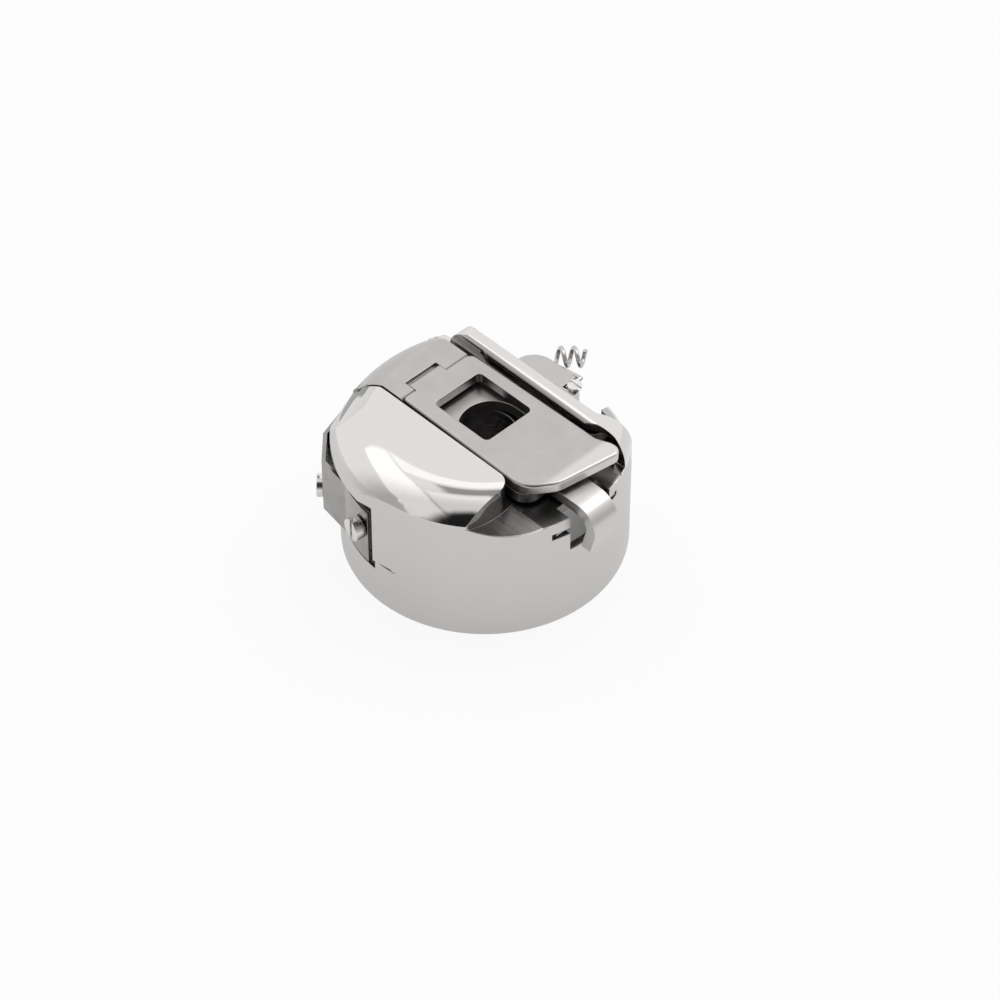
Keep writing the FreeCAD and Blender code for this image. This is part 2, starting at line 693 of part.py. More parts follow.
def tongue_slot(doc, dims):
    """The wall slot that the tongue hangs in.  It reaches in as far as the tongue's bend travels."""
    bend_inside = dims.tongue_bend - dims.slide_thickness
    reach = dims.tongue_face - dims.tongue_bend - dims.slide_travel + bend_inside / 2
    sill = dims.tongue_end - dims.tongue_clear
    return box(doc, "tongue_slot", (reach, -dims.tongue_slot_low_side, sill),
               (dims.outside, dims.tongue_slot_high_side, dims.outside * 2))


def dome_fall(doc, dims):
    """The dome's side by the hinge block is flattened to the block's own fall."""
    out = dims.outside
    profile = bar(doc, "dome_fall", [
        (dims.block_flat_radius, dims.dome_height),
        (dims.cup_radius, dims.block_edge_height, -dims.block_arc),
        (out, dims.block_edge_height),
        (out, dims.dome_height + 1),
        (dims.block_flat_radius, dims.dome_height + 1),
    ], -out, out)
    dome_half = box(doc, "dome_half", (-out, -out, 0), (0, -dims.dome_side, out * 2))
    return overlap(doc, "dome_fall_side", [turn(profile, dims.fall_angle), dome_half])


def scoop_corner(doc, dims):
    """Rounds the dome's upright corner between the channel and the scoop."""
    radius = dims.scoop_corner
    x, y = dims.scoop_start - radius, -dims.dome_side - radius
    corner = box(doc, "scoop_corner_block", (x, y, dims.channel_floor),
                 (dims.scoop_start + 1, 0, dims.ridge_height))
    post = drum(doc, "scoop_corner_post", radius, dims.ridge_height, (x, y, 0))
    return cut(doc, "scoop_corner", corner, [post])


def shoulder_steps(doc, dims):
    """Behind the ridge the plate steps down at both ends."""
    out = dims.outside
    low = dims.finger_height - dims.shoulder_drop
    return [
        box(doc, "shoulder_front", (dims.shoulder_start, dims.ridge_outer, low), (out, out, out * 2)),
        box(doc, "shoulder_rear", (-out, dims.ridge_outer, low), (-dims.shoulder_back, out, out * 2)),
    ]


def screw_boss(doc, dims):
    """The flat pad that the tension spring is screwed to."""
    inner = dims.cup_inner
    half = dims.boss_width / 2
    low = dims.fixing_height - dims.boss_width / 2
    pad = box(doc, "screw_boss", (inner + 0.2, -half, low), (boss_face(dims), half, low + dims.boss_width))
    return turn(pad, dims.fixing_angle)


def boss_face(dims):
    return dims.leaf_flat - dims.leaf_thickness - dims.running_gap


def screw_hole(doc, dims, name, height, angle):
    inner = dims.cup_inner
    radius = dims.screw_shank_radius + dims.press_gap
    return turn(drum(doc, name, radius, dims.cup_radius, (inner - 1, 0, height), "x"), angle)


def case_body(doc, dims):
    """One machined piece: cup, dome, brow, ridge and finger."""
    out = dims.outside
    above = dims.ridge_height + 2
    inner = dims.cup_inner
    notch_low = dims.cavity_depth - dims.ear_notch_height
    domed = fuse(doc, "case_domed", [cup_round(doc, dims), brow(doc, dims)])
    milled = cut(doc, "case_milled", domed, [
        box(doc, "channel", (-out, -dims.dome_side, dims.channel_floor), (out, dims.ridge_outer, above)),
        box(doc, "behind_ridge", (-out, dims.ridge_outer, dims.finger_height), (out, out, above)),
        plate_trim(doc, dims),
        leaf_recess(doc, dims),
        dome_fall(doc, dims),
        scoop_corner(doc, dims),
    ] + shoulder_steps(doc, dims))
    grown = fuse(doc, "case_grown", [milled, ridge(doc, dims), finger(doc, dims), screw_boss(doc, dims)])
    return cut(doc, "case_body", grown, side_window(doc, dims) + thread_slit(doc, dims) + [
        drum(doc, "cavity", inner, dims.cavity_depth + 1, (0, 0, -1)),
        drum(doc, "tube_hole", dims.tube_radius + dims.press_gap, above, (0, 0, 0)),
        rail_groove(doc, dims),
        flare(doc, dims),
        box(doc, "hinge_end", (-out, -dims.dome_side, dims.block_edge_height - dims.slide_gap),
            (-skirt_start(dims) + dims.slide_gap, dims.ridge_inner, dims.channel_floor + 1)),
        drum(doc, "scoop", dims.scoop_radius, out,
             (dims.scoop_start, -dims.scoop_centre, dims.scoop_floor + dims.scoop_radius), "x"),
        tongue_slot(doc, dims),
        box(doc, "ear_notches", (inner - 2, -dims.ear_notch_reach, notch_low),
            (out, dims.ear_notch_reach, dims.cavity_depth)),
        drum(doc, "seat_pin_hole", dims.seat_pin_radius + dims.press_gap, above,
             (-seat_pin_place(dims), -dims.spring_side, 0)),
        drum(doc, "clamp_hole", dims.clamp_shank_radius + dims.press_gap, above,
             (dims.clamp_across, dims.clamp_out, 0)),
        wire_groove(doc, dims),
        screw_hole(doc, dims, "fixing_hole", dims.fixing_height, dims.fixing_angle),
        screw_hole(doc, dims, "adjusting_hole", dims.adjusting_height, dims.adjusting_angle),
    ])


def centre_tube(doc, dims):
    """The tube that the bobbin turns on, staked in the web, with a flange under the flat spring."""
    flange_top = dims.cavity_depth - dims.flat_spring_thickness - dims.press_gap * 2
    flange_low = flange_top - dims.tube_flange_thickness
    return turned(doc, "centre_tube", [
        (dims.tube_bore_radius, 0),
        (dims.tube_radius, 0),
        (dims.tube_radius, flange_low),
        (dims.tube_flange_radius, flange_low),
        (dims.tube_flange_radius, flange_top),
        (dims.tube_radius, flange_top),
        (dims.tube_radius, dims.channel_floor),
        (dims.tube_bore_radius, dims.channel_floor),
    ])


def anti_backlash_spring(doc, dims):
    """A flat ring round the tube with two ears in the wall's notches and three sprung arms."""
    top = dims.cavity_depth - dims.press_gap
    low = top - dims.flat_spring_thickness
    pieces = [drum(doc, "flat_ring", dims.flat_spring_ring, dims.flat_spring_thickness, (0, 0, low))]
    for number, side in enumerate((-1, 1)):
        middle = side * dims.ear_centre
        reach = root(dims.cup_radius * dims.cup_radius - dims.ear_centre * dims.ear_centre)
        pieces.append(box(doc, f"ear_{number}", (0, middle - dims.ear_width / 2, low),
                          (reach - dims.slide_gap, middle + dims.ear_width / 2, top)))
    for number, angle in enumerate((100, 180, 260)):
        arm = bar(doc, f"arm_{number}", [
            (dims.flat_spring_ring - 0.4, low),
            (dims.flat_spring_arm, low - dims.flat_spring_drop),
            (dims.flat_spring_arm, top - dims.flat_spring_drop),
            (dims.flat_spring_ring - 0.4, top),
        ], -dims.ear_width, dims.ear_width)
        pieces.append(turn(arm, angle))
    whole = fuse(doc, "flat_spring_blank", pieces)
    bore = drum(doc, "flat_spring_bore", dims.tube_radius + dims.running_gap, dims.cavity_depth,
                (0, 0, 0))
    return cut(doc, "anti_backlash_spring", whole, [bore])


# --- the latch ------------------------------------------------------------------------------


def pin_x(dims):
    return -(dims.block_face + dims.pin_setback)


def pin_z(dims):
    return dims.dome_height - dims.pin_depth


def hinge_radius(dims):
    """The block's round front: it passes through the edge where block and lever meet."""
    return root(dims.pin_setback * dims.pin_setback + dims.pin_depth * dims.pin_depth)


def skirt_start(dims):
    """The hinge block's skirt hangs over the cup wall from here outwards."""
    return dims.cup_radius - dims.cup_wall - dims.slide_gap


def hinge_block(doc, dims):
    """The raised end of the slide: level with the dome, rounded down over the cup wall."""
    profile = turned(doc, "block_round", [
        (0, dims.block_edge_height),
        (dims.cup_radius, dims.block_edge_height),
        (dims.block_flat_radius, dims.dome_height, dims.block_arc),
        (0, dims.dome_height),
    ])
    out = dims.cup_radius + 1
    low_side, high_side = -dims.block_low_side, dims.block_high_side
    top = dims.dome_height + 1
    body = box(doc, "block_body", (-out, low_side, dims.channel_floor + dims.slide_gap),
               (pin_x(dims), high_side, top))
    skirt = box(doc, "block_skirt", (-out, low_side, dims.block_edge_height),
                (-skirt_start(dims), high_side, top))
    front = drum(doc, "block_front", hinge_radius(dims), low_side * -1 + high_side,
                 (pin_x(dims), low_side, pin_z(dims)), "y")
    return overlap(doc, "hinge_block", [profile, fuse(doc, "block_blank", [body, skirt, front])])


def slide_tongue(doc, dims):
    """The narrow end of the slide, bent down outside the cup and rounded at its end."""
    bend = dims.tongue_bend
    inside = bend - dims.slide_thickness
    start = dims.tongue_face - bend
    back = dims.slide_front - 2
    inner_face = dims.tongue_face - dims.slide_thickness
    low_side = -dims.tongue_offset - dims.tongue_width / 2
    high_side = low_side + dims.tongue_width
    profile = bar(doc, "tongue_profile", [
        (back, dims.slide_low),
        (start, dims.slide_low),
        (inner_face, dims.slide_low - inside, -inside),
        (inner_face - dims.tongue_curl, dims.tongue_end),
        (dims.tongue_face - dims.tongue_curl, dims.tongue_end),
        (dims.tongue_face, dims.slide_low - inside),
        (start, dims.slide_top, bend),
        (back, dims.slide_top),
    ], low_side, high_side)
    outline = rail(doc, "tongue_outline", [
        (low_side, dims.tongue_end),
        (high_side - dims.tongue_corner, dims.tongue_end),
        (high_side, dims.tongue_end + dims.tongue_corner, dims.tongue_corner),
        (high_side, dims.slide_top),
        (low_side, dims.slide_top),
    ], 0, dims.outside)
    return overlap(doc, "slide_tongue", [profile, outline])


def stud_hole(doc, dims):
    """The long hole: its hinge end catches the hook's stud, the rest clears the tube."""
    low = dims.slide_low - 1
    height = dims.slide_thickness + 2
    far = dims.slide_travel + dims.stud_hole_spare
    radius = dims.stud_hole_radius
    return [
        drum(doc, "stud_hole_catch", radius, height, (dims.stud_hole_centre, 0, low)),
        drum(doc, "stud_hole_far", radius, height, (far, 0, low)),
        box(doc, "stud_hole_middle", (dims.stud_hole_centre, -radius, low), (far, radius, low + height)),
    ]


def latch_slide(doc, dims):
    low = dims.slide_low
    pin = (pin_x(dims), pin_z(dims))
    pocket_radius = dims.pin_depth + dims.knuckle_gap
    pocket_low = -dims.knuckle_low_side - dims.knuckle_gap
    pocket_high = dims.knuckle_high_side + dims.knuckle_gap
    slot_back = seat_pin_place(dims) + dims.seat_pin_radius + dims.slide_gap
    slot_low = -dims.spring_side - dims.spring_slot_side
    slot_high = -dims.spring_side + dims.spring_slot_side
    front = [(dims.slide_front, -dims.slide_low_side), (dims.slide_front, dims.slide_high_side)]
    plate = slab(doc, "slide_plate", [
        (-dims.rail_start, -dims.slide_low_side),
        *front,
        (-dims.rail_start, dims.slide_high_side),
    ], low, dims.slide_top)
    round_corners(doc, plate, front, dims.slide_corner)
    rails = box(doc, "slide_rails", (-dims.rail_start, -dims.rail_low_side, low),
                (dims.rail_end, dims.rail_high_side, low + dims.rail_thickness))
    blank = fuse(doc, "slide_blank", [plate, rails, slide_tongue(doc, dims), hinge_block(doc, dims)])
    return cut(doc, "latch_slide", blank, stud_hole(doc, dims) + [
        drum(doc, "knuckle_pocket", pocket_radius, pocket_high - pocket_low,
             (pin[0], pocket_low, pin[1]), "y"),
        box(doc, "knuckle_mouth", (pin[0] - pocket_radius - dims.knuckle_slot, pocket_low, pin[1]),
            (pin[0] + 2, pocket_high, dims.dome_height + 1)),
        box(doc, "knuckle_front", (pin[0], pocket_low, pin[1] - pocket_radius),
            (pin[0] + 2, pocket_high, dims.dome_height + 1)),
        drum(doc, "pin_hole", dims.pin_radius + dims.press_gap, dims.block_low_side + dims.pin_high_end,
             (pin[0], -dims.block_low_side, pin[1]), "y"),
        box(doc, "spring_slot", (-slot_back, slot_low, low - 1),
            (-dims.spring_end, slot_high, dims.slide_top)),
    ])


def latch_hinge_pin(doc, dims):
    low = -dims.block_low_side + dims.slide_gap
    return drum(doc, "latch_hinge_pin", dims.pin_radius, dims.pin_high_end - dims.press_gap - low,
                (pin_x(dims), low, pin_z(dims)), "y")


def lever_plate(doc, dims):
    """The lever's sheet, with its window.  The free end runs out beside the ridge."""
    back = -(dims.block_face - dims.knuckle_gap)
    tip = (dims.lever_reach, dims.lever_flare)
    corners = [
        (back, -dims.lever_back_low),
        (dims.lever_shoulder, -dims.lever_front_low),
        (dims.lever_slant, -dims.lever_slant_side),
        tip,
        (dims.lever_flare_start, dims.lever_flare - 0.08),
        (dims.lever_shoulder, dims.lever_front_high),
        (back, dims.lever_back_high),
    ]
    low = dims.dome_height - dims.lever_thickness
    body = slab(doc, "lever_plate", corners, low, dims.dome_height)
    window = [(-dims.window_back, -dims.window_side), (dims.window_front, -dims.window_side),
              (dims.window_front, dims.window_side), (-dims.window_back, dims.window_side)]
    pocket(doc, body, "lever_window", window, dims.dome_height, dims.lever_thickness)
    round_corners(doc, body, window, dims.window_corner)
    round_corners(doc, body, [corners[1], corners[2]], dims.lever_front_round)
    round_corners(doc, body, [tip, corners[6]], dims.lever_corner_round)
    round_corners(doc, body, [corners[0]], dims.lever_corner_round / 2)
    round_edges(doc, body, top_edges(body.Tip.Shape, dims.dome_height.number, back.number),
                dims.lever_edge)
    return body


def top_edges(shape, height, back):
    """Edges round the lever's upper face, without the one at the hinge."""
    names = []
    for number, edge in enumerate(shape.Edges, 1):
        bounds = edge.BoundBox
        level = abs(bounds.ZMin - height) < 1e-3 and abs(bounds.ZMax - height) < 1e-3
        at_hinge = bounds.XMax < back + 1
        in_window = bounds.XMin > -4 and bounds.XMax < 4 and abs(bounds.Center.y) < 3
        if level and not at_hinge and not in_window:
            names.append(f"Edge{number}")
    return names


def latch_lever(doc, dims):
    low_side, high_side = -dims.knuckle_low_side, dims.knuckle_high_side
    pin = (pin_x(dims), pin_z(dims))
    wide = dims.lever_flare + 1
    clear = drum(doc, "lever_back", hinge_radius(dims) + dims.knuckle_gap, wide * 2,
                 (pin[0], -wide, pin[1]), "y")
    plate = cut(doc, "lever_trimmed", lever_plate(doc, dims), [clear])
    knuckle = drum(doc, "lever_knuckle", dims.pin_depth, high_side - low_side,
                   (pin[0], low_side, pin[1]), "y")
    web = box(doc, "lever_web", (pin[0], low_side, dims.dome_height - dims.lever_thickness),
              (pin[0] + hinge_radius(dims) + 0.4, high_side, dims.dome_height))
    whole = fuse(doc, "lever_whole", [plate, knuckle, web])
    hole = drum(doc, "lever_pin_hole", dims.pin_radius + dims.running_gap, wide * 2,
                (pin[0], -wide, pin[1]), "y")
    return cut(doc, "latch_lever", whole, [hole])


def coil(doc, name, coil_radius, wire_radius, pitch, length):
    """A coil spring about Z from height zero."""
    body = new_body(doc, name)
    sketch = body.newObject("Sketcher::SketchObject", name + "_wire")
    planes = [plane for plane in body.Origin.OriginFeatures if plane.Role == "XZ_Plane"]
    sketch.AttachmentSupport = [(planes[0], "")]
    sketch.MapMode = "FlatFace"
    centre = FreeCAD.Vector(coil_radius.number, 0, 0)
    sketch.addGeometry(Part.Circle(centre, FreeCAD.Vector(0, 0, 1), wire_radius.number))
    for rule, value in (
        (Sketcher.Constraint("DistanceX", -1, 1, 0, 3, coil_radius.number), coil_radius),
        (Sketcher.Constraint("Radius", 0, wire_radius.number), wire_radius),
    ):
        sketch.setExpression(f"Constraints[{sketch.addConstraint(rule)}]", value.text)
    sketch.addConstraint(Sketcher.Constraint("PointOnObject", 0, 3, -1))
    doc.recompute()
    helix = body.newObject("PartDesign::AdditiveHelix", name + "_helix")
    helix.Profile = sketch
    helix.ReferenceAxis = (sketch, ["V_Axis"])
    helix.Mode = 0
    bind(helix, "Pitch", pitch)
    bind(helix, "Height", length)
    return body


def latch_spring(doc, dims):
    """The coil spring that pushes the slide back to its catch; it lies in the slide's slot."""
    length = dims.spring_start - dims.spring_end - dims.spring_wire_radius * 2 - dims.running_gap * 2
    body = coil(doc, "latch_spring", dims.spring_coil_radius, dims.spring_wire_radius,
                dims.spring_pitch, length)
    body.Placement = FreeCAD.Placement(FreeCAD.Vector(), AXES["x"])
    start = -dims.spring_start + dims.spring_wire_radius + dims.running_gap
    return place(body, start, -dims.spring_side, dims.slide_low + dims.slide_thickness / 2)


def spring_seat_pin(doc, dims):
    """A pin staked in the web; the coil spring pushes on it."""
    return drum(doc, "spring_seat_pin", dims.seat_pin_radius,
                dims.slide_top - dims.slide_gap - dims.cavity_depth,
                (-seat_pin_place(dims), -dims.spring_side, dims.cavity_depth))


# --- the tension spring and its screws ------------------------------------------------------


def leaf_outer(dims):
    return dims.leaf_seat + dims.running_gap + dims.leaf_thickness


def tension_spring(doc, dims):
    """A leaf: hugging the wall at its free end, flat under the fixing screw, then bent back."""
    inner = leaf_outer(dims) - dims.leaf_thickness
    outer = leaf_outer(dims)
    flat = dims.leaf_flat
    flat_inner = dims.leaf_flat - dims.leaf_thickness
    half = dims.leaf_flat_half_angle
    spread = cosine(half)
    tip, bend = dims.leaf_tip_angle, dims.leaf_bend_angle
    first, last = dims.fixing_angle - half, dims.fixing_angle + half
    body = slab(doc, "leaf_sheet", [
        polar(dims.leaf_tail_radius, dims.leaf_tail_angle),
        polar(flat / spread, first),
        polar(flat / spread, last),
        polar(outer, bend),
        (*polar(outer, tip), outer),
        polar(inner, tip),
        (*polar(inner, bend), -inner),
        polar(flat_inner / spread, last),
        polar(flat_inner / spread, first),
        polar(dims.leaf_tail_radius - dims.leaf_thickness, dims.leaf_tail_angle),
    ], dims.leaf_low, dims.leaf_high)
    radius = dims.screw_shank_radius + dims.running_gap
    start = dims.cup_radius - dims.cup_wall
    holes = [
        turn(drum(doc, name, radius, dims.cup_radius, (start, 0, height), "x"), angle)
        for name, height, angle in (
            ("leaf_fixing_hole", dims.fixing_height, dims.fixing_angle),
            ("leaf_adjusting_hole", dims.adjusting_height, dims.adjusting_angle),
        )
    ]
    return cut(doc, "tension_spring", body, holes)


def radial_screw(doc, dims, name, seat, head_height, height, angle):
    """A slotted cheese-head screw that stands square to the wall."""
    inner = dims.cup_inner
    face = seat + head_height
    shank = drum(doc, name + "_shank", dims.screw_shank_radius, seat - inner, (inner, 0, height), "x")
    head = drum(doc, name + "_head", dims.screw_head_radius, head_height, (seat, 0, height), "x")
    depth = head_height / 2
    half = dims.screw_slot_width / 2
    reach = dims.screw_head_radius + 1
    slot = box(doc, name + "_slot", (face - depth, -half, height - reach), (face + 1, half, height + reach))
    screw = cut(doc, name, fuse(doc, name + "_blank", [shank, head]), [slot])
    return turn(screw, angle)


def tension_fixing_screw(doc, dims):
    return radial_screw(doc, dims, "tension_fixing_screw", dims.leaf_flat + dims.press_gap,
                        dims.fixing_head, dims.fixing_height, dims.fixing_angle)


def tension_adjusting_screw(doc, dims):
    return radial_screw(doc, dims, "tension_adjusting_screw", leaf_outer(dims) + dims.running_gap * 2,
                        dims.adjusting_head, dims.adjusting_height, dims.adjusting_angle)


# --- the pigtail guide ----------------------------------------------------------------------


def rod(start, end, radius):
    """A round wire between two places, with a ball at its end."""
    along = end - start
    straight = Part.makeCylinder(radius, along.Length, start, along)
    return straight.fuse(Part.makeSphere(radius, end))


def pigtail_guide(doc, dims):
    """Bent wire: a leg under the clamp screw, a run along the finger's edge and an open coil."""
    wire = dims.pigtail_wire_radius.number
    coil_radius = dims.pigtail_coil_radius.number
    leg_x = pigtail_leg(dims).number
    leg_z = dims.groove_top.number - wire
    edge_y = dims.finger_reach.number + wire + dims.slide_gap.number
    angle = math.radians(dims.pigtail_angle.number)
    axis = FreeCAD.Vector(math.cos(angle), math.sin(angle), 0)
    side = FreeCAD.Vector(math.sin(angle), -math.cos(angle), 0)
    height = dims.pigtail_height.number
    centre = FreeCAD.Vector(-dims.pigtail_across.number, dims.pigtail_out.number, height)
    # The run's ball end lies just inside the first turn.
    start = centre + side * coil_radius + axis.cross(side) * (wire / 2)
    leg = FreeCAD.Vector(leg_x, dims.clamp_out.number - 0.4, leg_z)
    corner = FreeCAD.Vector(leg_x, edge_y, leg_z)
    length = dims.pigtail_pitch.number * dims.pigtail_turns.number
    helix = Part.makeHelix(dims.pigtail_pitch.number, length, coil_radius)
    section = Part.Wire(Part.makeCircle(wire, FreeCAD.Vector(coil_radius, 0, 0), FreeCAD.Vector(0, 1, 0)))
    turns = Part.Wire(helix.Edges).makePipeShell([section], True, True)
    frame = FreeCAD.Rotation(side, axis.cross(side), axis, "ZXY")
    turns.Placement = FreeCAD.Placement(centre, frame)
    shape = turns.fuse([rod(leg, corner, wire), rod(corner, start, wire)])
    thing = doc.addObject("Part::Feature", "pigtail_guide")
    thing.Shape = shape
    return thing


def pigtail_clamp_screw(doc, dims):
    """The small slotted screw in the finger's corner."""
    seat = dims.finger_height + dims.press_gap
    top = seat + dims.clamp_head_height
    x, y = dims.clamp_across, dims.clamp_out
    shank = drum(doc, "clamp_shank", dims.clamp_shank_radius, seat - dims.cavity_depth,
                 (x, y, dims.cavity_depth))
    head = drum(doc, "clamp_head", dims.clamp_head_radius, dims.clamp_head_height, (x, y, seat))
    half = dims.screw_slot_width / 2
    reach = dims.clamp_head_radius + 1
    slot = box(doc, "clamp_slot", (x - reach, y - half, top - dims.clamp_head_height / 2),
               (x + reach, y + half, top + 1))
    return cut(doc, "pigtail_clamp_screw", fuse(doc, "clamp_blank", [shank, head]), [slot])


def main():
    doc = FreeCAD.newDocument("bobbin_case")
    dims = Sheet(doc)
    makers = (
        case_body, centre_tube, anti_backlash_spring, latch_slide, latch_hinge_pin, latch_lever,
        latch_spring, spring_seat_pin, tension_spring, tension_fixing_screw,
        tension_adjusting_screw, pigtail_guide, pigtail_clamp_screw,
    )
    parts = [make(doc, dims) for make in makers]
    doc.recompute()
    write(doc, parts)


def write(doc, parts):
    broken = [thing.Name for thing in doc.Objects if {"Invalid", "Error"} & set(thing.State)]
    if broken:
        raise RuntimeError(f"failed: {broken}")
    os.makedirs("parts", exist_ok=True)
    for part in parts:
        part.Label = part.Name
        if part.Shape.isNull() or not part.Shape.isValid():
            raise RuntimeError(f"{part.Label} has no valid shape")
        part.Shape.exportStep(f"parts/{part.Label}.step")
        print(part.Label, len(part.Shape.Solids), round(part.Shape.Volume, 3))


main()
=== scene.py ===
import json
import math

import bmesh
import bpy
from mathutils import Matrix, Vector
from mathutils.bvhtree import BVHTree
from mathutils.interpolate import poly_3d_calc


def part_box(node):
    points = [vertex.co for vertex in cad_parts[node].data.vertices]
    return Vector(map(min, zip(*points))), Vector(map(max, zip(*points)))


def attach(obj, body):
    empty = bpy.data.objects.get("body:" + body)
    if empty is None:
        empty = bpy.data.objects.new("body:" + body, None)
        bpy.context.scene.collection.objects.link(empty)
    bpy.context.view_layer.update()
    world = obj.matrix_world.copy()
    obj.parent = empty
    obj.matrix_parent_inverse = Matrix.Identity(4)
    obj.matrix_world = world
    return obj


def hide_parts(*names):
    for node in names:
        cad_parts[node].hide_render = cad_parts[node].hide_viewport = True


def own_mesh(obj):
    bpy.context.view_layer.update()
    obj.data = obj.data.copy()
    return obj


# A bobbin case, mouth down: satin cup, polished dome and ridge, tumbled latch, rolled springs.
# Lengths are metres, except in the finishes, whose places are millimetres on the row frame.
# The frame holds every piece's place and size.

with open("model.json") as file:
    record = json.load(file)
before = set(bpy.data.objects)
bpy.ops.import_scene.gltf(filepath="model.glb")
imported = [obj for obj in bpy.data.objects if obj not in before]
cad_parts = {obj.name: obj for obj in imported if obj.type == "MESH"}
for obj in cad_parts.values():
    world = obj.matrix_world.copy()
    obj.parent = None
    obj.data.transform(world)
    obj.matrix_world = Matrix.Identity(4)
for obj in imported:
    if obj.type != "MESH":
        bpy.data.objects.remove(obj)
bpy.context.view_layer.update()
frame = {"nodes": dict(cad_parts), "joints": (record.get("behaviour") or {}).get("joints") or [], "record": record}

MM = 0.001
PIN_TO_HINGE_LINE = 0.2 * MM
SLOTS = {part["node"]: part["material_slot"] for part in frame["record"]["subparts"]}
BODIES = {
    node: body
    for body, members in frame["record"]["behaviour"]["bodies"].items()
    for node in members
}

cup_radius = -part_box("case_body")[0].x
lever_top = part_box("latch_lever")[1].z
hinge_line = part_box("latch_hinge_pin")[1].x + PIN_TO_HINGE_LINE


# --- shader graph ---------------------------------------------------------------------------


class Wire:
    """A node's output.  Arithmetic on it adds Math nodes to its tree."""

    def __init__(self, maker, socket):
        self.maker = maker
        self.socket = socket

    def math(self, operation, *values):
        pairs = dict(enumerate(values))
        return self.maker.add("ShaderNodeMath", {"operation": operation}, pairs)

    def __add__(self, other):
        return self.math("ADD", self, other)

    def __radd__(self, other):
        return self.math("ADD", other, self)

    def __sub__(self, other):
        return self.math("SUBTRACT", self, other)

    def __rsub__(self, other):
        return self.math("SUBTRACT", other, self)

    def __mul__(self, other):
        return self.math("MULTIPLY", self, other)

    def __rmul__(self, other):
        return self.math("MULTIPLY", other, self)

    def __truediv__(self, other):
        return self.math("DIVIDE", self, other)

    def root(self):
        return self.math("SQRT", self)

    def larger(self, other):
        return self.math("MAXIMUM", self, other)

    def steps(self, start, end):
        """Goes smoothly from 0 to 1 while the value goes from start to end."""
        settings = {"interpolation_type": "SMOOTHSTEP"}
        values = {"Value": self, "From Min": start, "From Max": end, "To Min": 0.0, "To Max": 1.0}
        return self.maker.add("ShaderNodeMapRange", settings, values)

    def band(self, rise, fall):
        """1 between two edges, each a start and an end to fade over, and 0 outside them."""
        return self.steps(*rise) * (1.0 - self.steps(*fall))


class Maker:
    """Adds nodes to one tree."""

    def __init__(self, tree):
        self.tree = tree
        tree.nodes.clear()

    def add(self, kind, settings=None, values=None, out=0):
        """Adds a node, makes its settings, then gives its sockets their values or links."""
        node = self.tree.nodes.new(kind)
        for name, value in (settings or {}).items():
            setattr(node, name, value)
        for name, value in (values or {}).items():
            if isinstance(value, Wire):
                self.tree.links.new(value.socket, node.inputs[name])
            else:
                node.inputs[name].default_value = value
        return Wire(self, node.outputs[out] if len(node.outputs) else None)

    def outputs(self, kind, *names):
        """Several outputs of a node that takes no input."""
        node = self.add(kind).socket.node
        return [Wire(self, node.outputs[name]) for name in names]

    def mix(self, factor, first, second):
        """A blend of two colours."""
        sockets = {"Factor": factor, 6: first, 7: second}
        return self.add("ShaderNodeMix", {"data_type": "RGBA"}, sockets, out=2)

    def steel(self, factor, first, second):
        """A blend of two shades of steel."""
        return self.mix(factor, colour(first), colour(second))

    def split(self, vector):
        """A vector's three parts."""
        node = self.add("ShaderNodeSeparateXYZ", None, {0: vector}).socket.node
        return [Wire(self, socket) for socket in node.outputs]

    def scaled(self, vector, scale):
        """A vector times three numbers."""
        return self.add("ShaderNodeVectorMath", {"operation": "MULTIPLY"}, {0: vector, 1: scale})

    def along(self, way, direction):
        """How far a way points along a direction."""
        sockets = {0: way, 1: tuple(direction)}
        return self.add("ShaderNodeVectorMath", {"operation": "DOT_PRODUCT"}, sockets, out=1)

    def place(self):
        """Object coordinates in millimetres."""
        spot = self.add("ShaderNodeTexCoord", out=3)
        return self.scaled(spot, (1 / MM, 1 / MM, 1 / MM))

    def noise(self, vector, scale, detail, rough):
        values = {"Vector": vector, "Scale": scale, "Detail": detail, "Roughness": rough}
        return self.add("ShaderNodeTexNoise", None, values)

    def height(self, value, distance, strength):
        values = {"Height": value, "Distance": distance, "Strength": strength}
        return self.add("ShaderNodeBump", None, values)


def colour(shade):
    """A steel's reflectance; steel is a little warm."""
    return (shade, shade * 0.975, shade * 0.955, 1)


def surface(name, paint):
    """A metal.  paint adds its graph and returns what feeds the shader."""
    material = bpy.data.materials.new(name)
    material.use_nodes = True
    maker = Maker(material.node_tree)
    values = {"Metallic": 1.0, "IOR": 2.5}
    values.update(paint(maker, maker.place()))
    shader = maker.add("ShaderNodeBsdfPrincipled", None, values)
    maker.add("ShaderNodeOutputMaterial", None, {"Surface": shader})
    return material


# --- finishes -------------------------------------------------------------------------------

FINE_RELIEF = 2e-6
TURNED_RELIEF = 3e-6

# where one finish gives way to the next, each as a start and an end in millimetres;
# the radius is rounded, because the mesh's facets fall a little short of it
CUP = round(cup_radius / MM, 1)
WALL_RADIUS = (CUP - 0.20, CUP - 0.14)
INNER_RADIUS = (CUP - 0.22, CUP - 0.16)
TONGUE_X = (8.8, 9.4)
RIDGE_Y = (2.9, 3.3)
SHELF_Y = (3.9, 4.1)
FLOOR_END_Y, FLOOR_END_Z = (4.2, 4.6), (9.4, 9.7)
FINGER_Y, FINGER_FOOT_Z, FINGER_TOP_Z = (5.6, 5.8), (9.6, 9.8), (11.45, 11.5)
SEAM_HEIGHT, SEAM_DROP, SEAM_BLUR = 11.86, 1.3, 0.04
# the inner faces below this height are milled, and their colour is also painted dark as shade in the recesses
MILLED_SHADE_HEIGHT, MILLED_SHADE_DROP, MILLED_SHADE_BLUR = 12.5, 0.75, 0.1
MILLED_SHADE_RADIUS = (9.6, 10.6)


